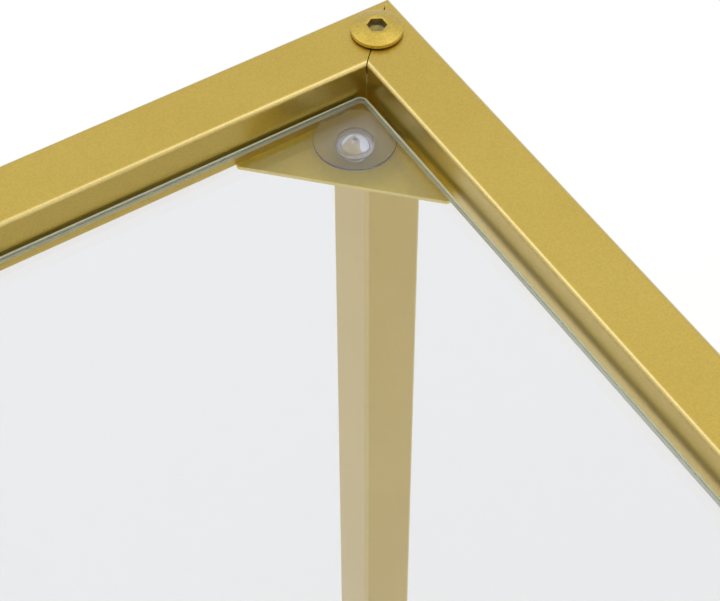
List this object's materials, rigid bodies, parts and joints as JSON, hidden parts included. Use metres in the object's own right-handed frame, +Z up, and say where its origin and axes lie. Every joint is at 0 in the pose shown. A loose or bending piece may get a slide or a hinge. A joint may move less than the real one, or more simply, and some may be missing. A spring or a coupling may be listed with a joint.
{
  "type": "vanity table",
  "caption": "Vanity table with a gold square-tube steel frame, an inset clear glass top on corner gussets with clear cups, and a framed tilting mirror on posts at the back.",
  "frame": {"origin": "centre of the footprint, on the floor under the feet", "axes": "+X to the sitter's right as they face the mirror, +Y to the back where the mirror stands, +Z up"},
  "size_m": [1.0046, 0.474, 1.39],
  "materials": {
    "frame_gold": "satin metallic gold powder coat",
    "bolt_gold": "satin gold coat, bare metal in the socket",
    "knob_gold": "satin gold coat",
    "clear_glass": "polished, with a pale green edge",
    "clear_cup": "soft clear vinyl",
    "mirror_glass": "silvered float glass",
    "backing_board": "raw hardboard",
    "black_plastic": "fine moulded grain",
    "steel": "zinc plated"
  },
  "bodies": {
    "table_frame": {"top_rail_front": "frame_gold", "top_rail_back": "frame_gold", "top_rail_left": "frame_gold", "top_rail_right": "frame_gold", "gusset_front_left": "frame_gold", "gusset_front_right": "frame_gold", "gusset_back_left": "frame_gold", "gusset_back_right": "frame_gold", "suction_cup_front_left": "clear_cup", "suction_cup_front_right": "clear_cup", "suction_cup_back_left": "clear_cup", "suction_cup_back_right": "clear_cup", "glass_top": "clear_glass", "corner_bolt_front_left": "bolt_gold", "corner_bolt_front_right": "bolt_gold", "corner_bolt_back_left": "bolt_gold", "corner_bolt_back_right": "bolt_gold", "leg_front_left": "frame_gold", "leg_front_right": "frame_gold", "leg_back_left": "frame_gold", "leg_back_right": "frame_gold", "leg_top_plugs": "steel", "side_stretcher_left": "frame_gold", "side_stretcher_right": "frame_gold", "back_stretcher": "frame_gold", "stretcher_end_plugs": "steel", "stretcher_bolts": "bolt_gold", "foot_insert_front_left": "black_plastic", "foot_insert_front_right": "black_plastic", "foot_insert_back_left": "black_plastic", "foot_insert_back_right": "black_plastic", "post_tabs": "frame_gold", "tab_weld_nuts": "steel", "post_rivet_nuts": "steel", "mirror_post_left": "frame_gold", "mirror_post_right": "frame_gold", "post_end_caps": "black_plastic", "post_bolts": "bolt_gold", "pivot_washers": "black_plastic"},
    "foot_front_left": {"foot_pad_front_left": "black_plastic", "foot_stud_front_left": "steel"},
    "foot_front_right": {"foot_pad_front_right": "black_plastic", "foot_stud_front_right": "steel"},
    "foot_back_left": {"foot_pad_back_left": "black_plastic", "foot_stud_back_left": "steel"},
    "foot_back_right": {"foot_pad_back_right": "black_plastic", "foot_stud_back_right": "steel"},
    "knob_left": {"tilt_knob_left": "knob_gold", "knob_screw_left": "steel"},
    "knob_right": {"tilt_knob_right": "knob_gold", "knob_screw_right": "steel"},
    "mirror": {"mirror_frame_top": "frame_gold", "mirror_frame_bottom": "frame_gold", "mirror_frame_left": "frame_gold", "mirror_frame_right": "frame_gold", "mirror_glass": "mirror_glass", "mirror_backing": "backing_board", "mirror_clips": "steel", "pivot_bushes": "steel"}
  },
  "joints": [
    {"name": "mirror_tilt", "type": "hinge", "parent": "table_frame", "child": "mirror", "pos_m": [0, 0.223, 1.09], "axis": [1, 0, 0], "range_deg": [-25, 20]},
    {"name": "knob_turn_left", "type": "hinge", "parent": "mirror", "child": "knob_left", "pos_m": [-0.2733, 0.223, 1.09], "axis": [-1, 0, 0], "range_deg": [0, 450]},
    {"name": "knob_turn_right", "type": "hinge", "parent": "mirror", "child": "knob_right", "pos_m": [0.2733, 0.223, 1.09], "axis": [1, 0, 0], "range_deg": [0, 450]},
    {"name": "foot_level_front_left", "type": "slide", "parent": "table_frame", "child": "foot_front_left", "axis": [0, 0, -1], "range_m": [0, 0.01]},
    {"name": "foot_level_front_right", "type": "slide", "parent": "table_frame", "child": "foot_front_right", "axis": [0, 0, -1], "range_m": [0, 0.01]},
    {"name": "foot_level_back_left", "type": "slide", "parent": "table_frame", "child": "foot_back_left", "axis": [0, 0, -1], "range_m": [0, 0.01]},
    {"name": "foot_level_back_right", "type": "slide", "parent": "table_frame", "child": "foot_back_right", "axis": [0, 0, -1], "range_m": [0, 0.01]}
  ]
}
